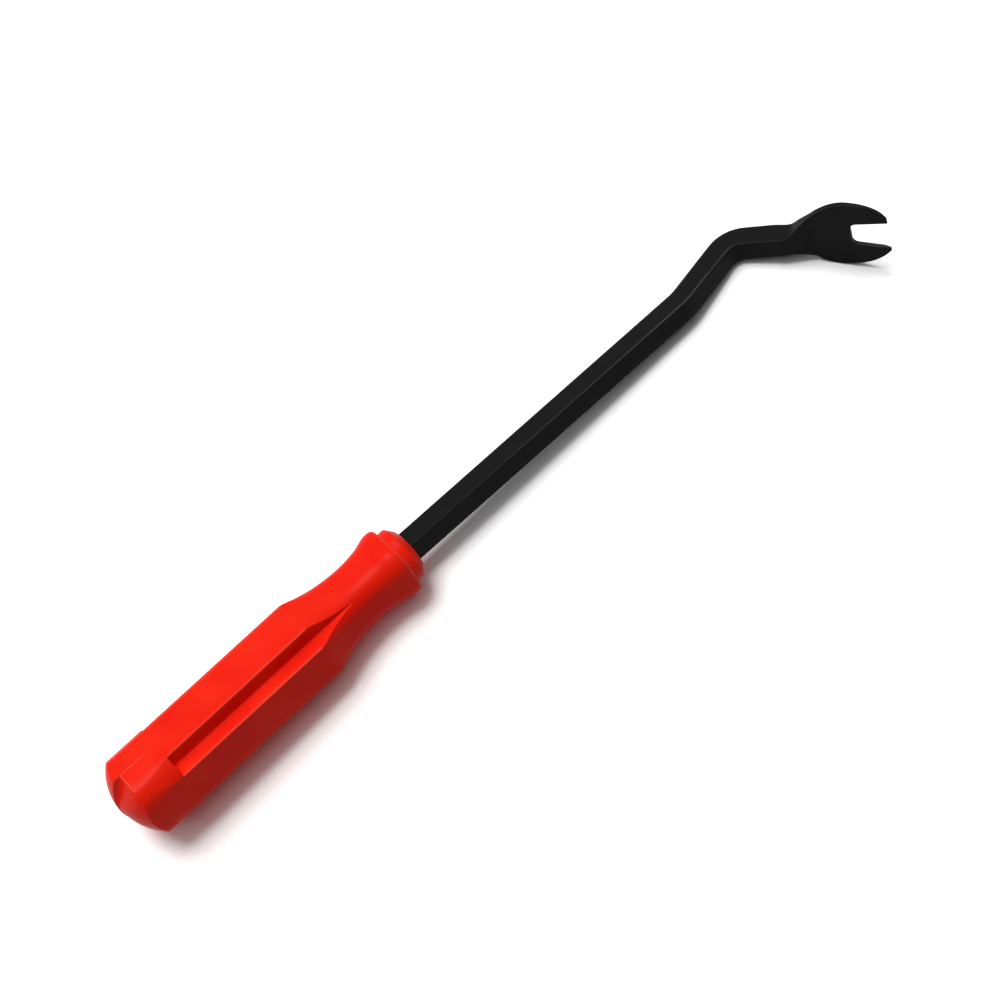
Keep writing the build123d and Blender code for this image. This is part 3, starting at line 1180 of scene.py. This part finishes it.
        # light: the pale edge line, abrasion plus a painted highlight; dark: the painted dark line
        # just below it.
        light = np.concatenate([face, [0.0], edge, [0.0, 0.0], edge[::-1], [0.0], face])
        dark = np.concatenate([face, [1.0, 0.8], np.zeros(12), [0.8, 1.0], face])
        painted_dark_line = 1.0 - smooth_step(s, self.fork_start, self.head_start)
        return worn_and_lit[:, None] * light[None, :] - painted_dark_line[:, None] * dark[None, :]

    def add_body(self, shell: Shell, s: Array) -> None:
        """Adds the bar, the flare and the head up to the notch.

        Args:
            shell: The blade's shell.
            s: The stations.
        """
        upper, lower = self.ring_half(s, 1.0), self.ring_half(s, -1.0)
        steps = np.linspace(0.0, 1.0, self.middle + 1)[None, 1:-1]
        ring = []
        for high, low in zip(upper, lower):
            front = low[:, :1] + (high[:, :1] - low[:, :1]) * steps
            back = high[:, -1:] + (low[:, -1:] - high[:, -1:]) * steps
            ring.append(np.concatenate([high, back, low[:, ::-1], front], axis=1))
        ahead, v, w = ring
        points = self.into_tool(s[:, None] + 0.0 * v, ahead, v, w)
        half, between = self.wear_and_light_half(s), np.zeros((len(s), self.middle - 1))
        wear_and_painted_light = np.concatenate([half, between, half[:, ::-1], between], axis=1)
        shell.add_grid(points, wear_and_painted_light, round_about=True)
        shell.add_cap(points[0], facing_back=True)

    def notch_edge(self, q: Array, side: float) -> tuple[Array, Array, Array, Array]:
        """The notch's edge from the floor's end to the mouth, beside one prong.

        A round corner about (floor + corner, square), then a straight edge that leans out.

        Args:
            q: The share of the way, from 0 to 1.
            side: 1 for the upper prong, -1 for the lower one.

        Returns:
            The edge's two coordinates and its outward direction, into the steel.
        """
        lean, corner = self.lean(side), self.notch_corner
        sweep = np.pi / 2.0 - lean
        middle_u = self.floor_u + corner
        run = (self.reach - self.tip_cut - middle_u + corner * np.sin(lean)) / np.cos(lean)
        far = q * (corner * sweep + run)
        turn = np.clip(far / corner, 0.0, sweep)
        past = np.maximum(far - corner * sweep, 0.0)
        normal_u, normal_v = -np.cos(turn), np.sin(turn)
        edge_u = middle_u + corner * normal_u + past * np.cos(lean)
        edge_v = self.square(side) + corner * normal_v + past * np.sin(lean)
        return edge_u, edge_v, normal_u, normal_v

    def add_prong(self, shell: Shell, side: float) -> None:
        """Adds one prong, from the body's last ring to its tip.

        Each row joins a point of the notch's edge to one of the outer edge across the
        front and back faces, round both rims.

        Args:
            shell: The blade's shell.
            side: 1 for the upper prong, -1 for the lower one.
        """
        q = np.concatenate([np.linspace(0.0, 0.34, 15), np.linspace(0.38, 1.0, 18)])
        edge_u, edge_v, normal_u, normal_v = self.notch_edge(q, side)
        out_u = self.floor_u + (self.reach - self.tip_cut - self.floor_u) * q
        height, ahead, up = self.outline(out_u)
        height = height + (self.fuller if side > 0.0 else 0.0) * q**1.5
        inset, offset = self.rim(*self.rounds(self.head_start + q))
        proud = np.full_like(q, self.proud)
        depth = self.rim_depth(offset, proud, proud)
        rows = [
            (out_u[:, None] - inset * ahead[:, None], edge_u[:, None] + inset * normal_u[:, None]),
            (height[:, None] - inset * up[:, None], edge_v[:, None] + inset * normal_v[:, None]),
            (depth, depth),
        ]
        u, v, w = (
            np.hstack([self.over_rim(rim, wall[:, :1], wall[:, -1:]), wall[:, -2:0:-1]])
            for rim, wall in rows
        )
        face, edge = self.across + 1, depth.shape[1] - 2
        behind = np.repeat([0.0, 1.0, 0.0], [face + edge // 2, face + edge, edge // 2])
        w = w - behind[None, :] * self.thickness(u)
        s = self.head_start + 0.0 * u
        points = self.into_tool(s, u, self.rise + side * v, w)
        middle, before = points[-1].mean(axis=0), points[-2].mean(axis=0)
        cut = self.tip_cut * (middle - before) / self.tip_row
        tip = middle + self.tip_narrow * (points[-1] - middle) + cut
        points = np.concatenate([points, tip[None]])
        # The notch's walls are paled: abrasion plus painted light, as on a wall facing up to the
        # lamps.
        wear_and_painted_light = np.repeat([0.0, self.outer_wear, 0.0, self.notch_wall_wear_and_light], [face, edge, face, edge])
        wear_and_painted_light = np.repeat(wear_and_painted_light[None], len(points), axis=0)
        if side < 0.0:
            points, wear_and_painted_light = points[:, ::-1], wear_and_painted_light[:, ::-1]
        shell.add_grid(points, wear_and_painted_light, round_about=True)
        shell.add_cap(points[-1], facing_back=False, wear_and_painted_light=self.tip_wear)

    def add_floor(self, shell: Shell) -> None:
        """Adds the notch's floor between the prongs, with the same rim profile.

        Args:
            shell: The blade's shell.
        """
        v = np.linspace(-self.square(-1.0), self.square(1.0), self.middle + 1)
        one = np.ones_like(v)
        inset, offset = self.rim(*self.rounds(self.head_start * one))
        u = self.floor_u - inset
        depth = self.rim_depth(offset, self.proud * one, self.proud * one)
        behind = np.repeat([0.0, 1.0], depth.shape[1] // 2)[None, :]
        w = depth - behind * self.thickness(u)
        s = self.head_start + 0.0 * u
        points = self.into_tool(s, u, self.rise + v[:, None] + 0.0 * u, w)
        shell.add_grid(points[::-1], self.floor_wear)

    def dress(self, piece: bpy.types.Object, finish: BlackCoating) -> None:
        """Gives the blade its coating and says what it stands for.

        Args:
            piece: The blade's object.
            finish: Its coating.
        """
        piece.data.materials.append(finish.material())
        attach(piece, "root")
        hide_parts("blade")


@dataclass(frozen=True)
class Lamp:
    """A wide soft lamp far away, so that the floor is lit evenly."""

    name: str
    towards: Triple
    width: float
    level: float

    def build(self) -> None:
        """Hangs the lamp; a flat white thing square to it takes the level as its shade."""
        data = bpy.data.lights.new(self.name, "SUN")
        data.angle, data.energy = np.radians(self.width), self.level * np.pi
        turn = Vector(self.towards).to_track_quat("Z", "Y")
        add_object(self.name, data).rotation_euler = turn.to_euler()


@dataclass
class Studio:
    """The white floor, the soft boxes, the white surround and the camera."""

    floor_size: float = 8.0
    ambient: float = 0.04
    eye: Triple = (-0.086651, -0.178067, 0.500952)
    right: Triple = (0.71201, -0.69031, -0.12853)
    down: Triple = (-0.68271, -0.63778, -0.35657)
    lens: float = 69.626
    card: float = 0.55

    def add_floor(self) -> None:
        """Lays the paper: a grid of points at height 0."""
        across = np.linspace(-self.floor_size / 2.0, self.floor_size / 2.0, 9)
        x, y = np.meshgrid(across, across, indexing="ij")
        points = np.stack([x, y, 0.0 * x], axis=-1).reshape(-1, 3)
        quads = quads_of(np.arange(x.size).reshape(x.shape))
        mesh = bpy.data.meshes.new("studio_floor")
        mesh.from_pydata(points.tolist(), [], quads.tolist())
        mesh.materials.append(WhiteSweep().material())
        floor = add_object("studio_floor", mesh)

    def add_surround(self) -> None:
        """Sets the white surround: 1 to the eye and in reflections, dimmer as light."""
        bpy.context.scene.world = bpy.data.worlds.new("studio_surround")
        recipe = Recipe(bpy.context.scene.world)
        seen, mirrored = recipe.rays()
        level = self.ambient + (seen + mirrored).at_most(1.0) * (1.0 - self.ambient)
        terms = {"Color": (1.0, 1.0, 1.0, 1.0), "Strength": level}
        recipe.end(recipe.node("ShaderNodeBackground", {}, terms), "ShaderNodeOutputWorld")

    def add_camera(self) -> None:
        """Stands the camera where the photograph was taken from."""
        data = bpy.data.cameras.new("photo_camera")
        data.lens, data.sensor_width = self.lens, 36.0
        data.clip_start, data.clip_end = 0.01, 50.0
        camera = add_object("photo_camera", data)
        right, up = Vector(self.right), -Vector(self.down)
        turn = Matrix((right, up, right.cross(up))).transposed().to_4x4()
        camera.matrix_world = Matrix.Translation(self.eye) @ turn
        bpy.context.scene.camera = camera

    def add_dark_card(self) -> None:
        """Hangs the dark card that stands round the camera, seen only in reflections."""
        recipe = Recipe.of_material("studio_card")
        black = recipe.node("ShaderNodeBsdfDiffuse", {}, {"Color": (0.02, 0.02, 0.02, 1.0)})
        right, up = np.array(self.right), -np.array(self.down)
        middle = np.array(self.eye) + 0.04 * np.cross(right, up)
        corners = np.array([[-1, -1], [1, -1], [1, 1], [-1, 1]]) * self.card / 2.0
        mesh = bpy.data.meshes.new("studio_card")
        mesh.from_pydata((middle + corners @ np.stack([right, up])).tolist(), [], [(0, 1, 2, 3)])
        mesh.materials.append(recipe.end(black))
        card = add_object("studio_card", mesh)
        card.visible_camera = card.visible_diffuse = card.visible_shadow = False

    def build(self) -> None:
        """Builds the studio and sets the plain view transform."""
        bpy.context.scene.view_settings.view_transform = "Standard"
        self.add_floor()
        self.add_surround()
        self.add_camera()
        self.add_dark_card()
        Lamp("key_lamp", (0.0, 0.42, 1.0), 32.0, 0.68).build()
        Lamp("overhead_box", (0.0, 0.45, 1.0), 95.0, 0.28).build()


def main() -> None:
    """Builds the tool and its studio, and logs each piece's face count."""
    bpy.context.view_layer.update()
    lay = Lay()
    handle = Handle()
    moulding = handle.build(lay)
    handle.dress(moulding, RedMoulding())
    log.info("handle: %d faces", len(moulding.data.polygons))
    blade = Blade()
    forging = blade.build(lay)
    blade.dress(forging, BlackCoating())
    log.info("blade: %d faces", len(forging.data.polygons))
    Studio().build()
    log.info("studio: floor, lamps and camera")
    bpy.context.view_layer.update()


if __name__ == "__main__":
    main()
